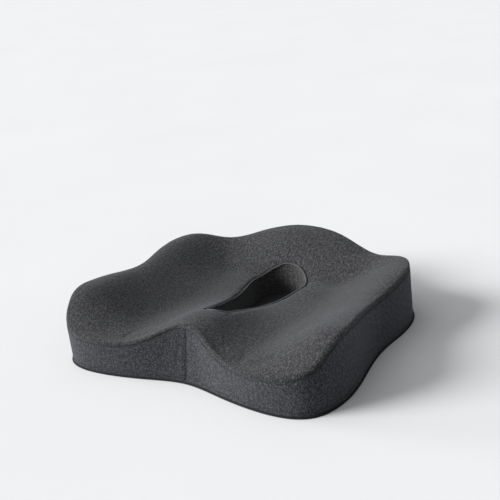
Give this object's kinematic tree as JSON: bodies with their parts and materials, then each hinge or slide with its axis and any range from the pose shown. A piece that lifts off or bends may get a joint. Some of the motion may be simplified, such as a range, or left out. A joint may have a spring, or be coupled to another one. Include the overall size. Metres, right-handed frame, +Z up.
{
  "type": "seat cushion",
  "caption": "Contoured foam seat cushion in a charcoal knit cover, with lobed front, raised sides and back, and a lined teardrop relief hole.",
  "frame": {"origin": "middle of the base, at the foot of the piping that the cushion rests on", "axes": "+Z up, -Y towards the front edge with the two lobes, +X towards the right as seen from the front"},
  "size_m": [0.4582, 0.4004, 0.1],
  "materials": {
    "foam": "open-cell memory foam, matt",
    "liner_cloth": "thin plain stretch knit",
    "knit_top": "charcoal heather knit, brushed",
    "knit_side": "charcoal heather knit, brushed",
    "sleeve_cloth": "charcoal knit",
    "bottom_cloth": "close plain weave",
    "piping": "bias binding over a thin cord",
    "grip_rubber": "soft matt silicone",
    "thread": "twisted polyester thread",
    "zip_tape": "narrow herringbone tape",
    "zip_teeth": "moulded teeth, satin",
    "zip_metal": "black lacquer, worn at the edges",
    "label": "blank satin ribbon"
  },
  "bodies": {
    "cushion": {"foam_core": "foam", "liner_shell": "liner_cloth", "liner_base": "liner_cloth", "cover_top_panel": "knit_top", "side_band_left": "knit_side", "side_band_right": "knit_side", "back_band_upper": "knit_side", "back_band_lower": "knit_side", "relief_hole_sleeve": "sleeve_cloth", "relief_hole_floor": "sleeve_cloth", "cover_bottom_panel": "bottom_cloth", "base_piping": "piping", "grip_dots": "grip_rubber", "top_seam_thread": "thread", "base_seam_thread": "thread", "front_seam_thread": "thread", "hole_rim_thread": "thread", "hole_base_thread": "thread", "zip_tape_upper": "zip_tape", "zip_tape_lower": "zip_tape", "zip_teeth_upper": "zip_teeth", "zip_teeth_lower": "zip_teeth", "zip_top_stop": "zip_teeth", "zip_bottom_stop": "zip_teeth", "care_label": "label"},
    "slider": {"zip_slider": "zip_metal"},
    "pull_tab": {"zip_pull_tab": "zip_metal"}
  },
  "joints": [
    {"name": "zip_travel", "type": "hinge", "parent": "cushion", "child": "slider", "pos_m": [0, -0.0545, 0.029], "axis": [0, 0, 1], "range_deg": [0, 38.6]},
    {"name": "tab_swing", "type": "hinge", "parent": "slider", "child": "pull_tab", "pos_m": [0.08425, 0.18607, 0.029], "axis": [0, 0, -1], "range_deg": [0, 175]}
  ]
}
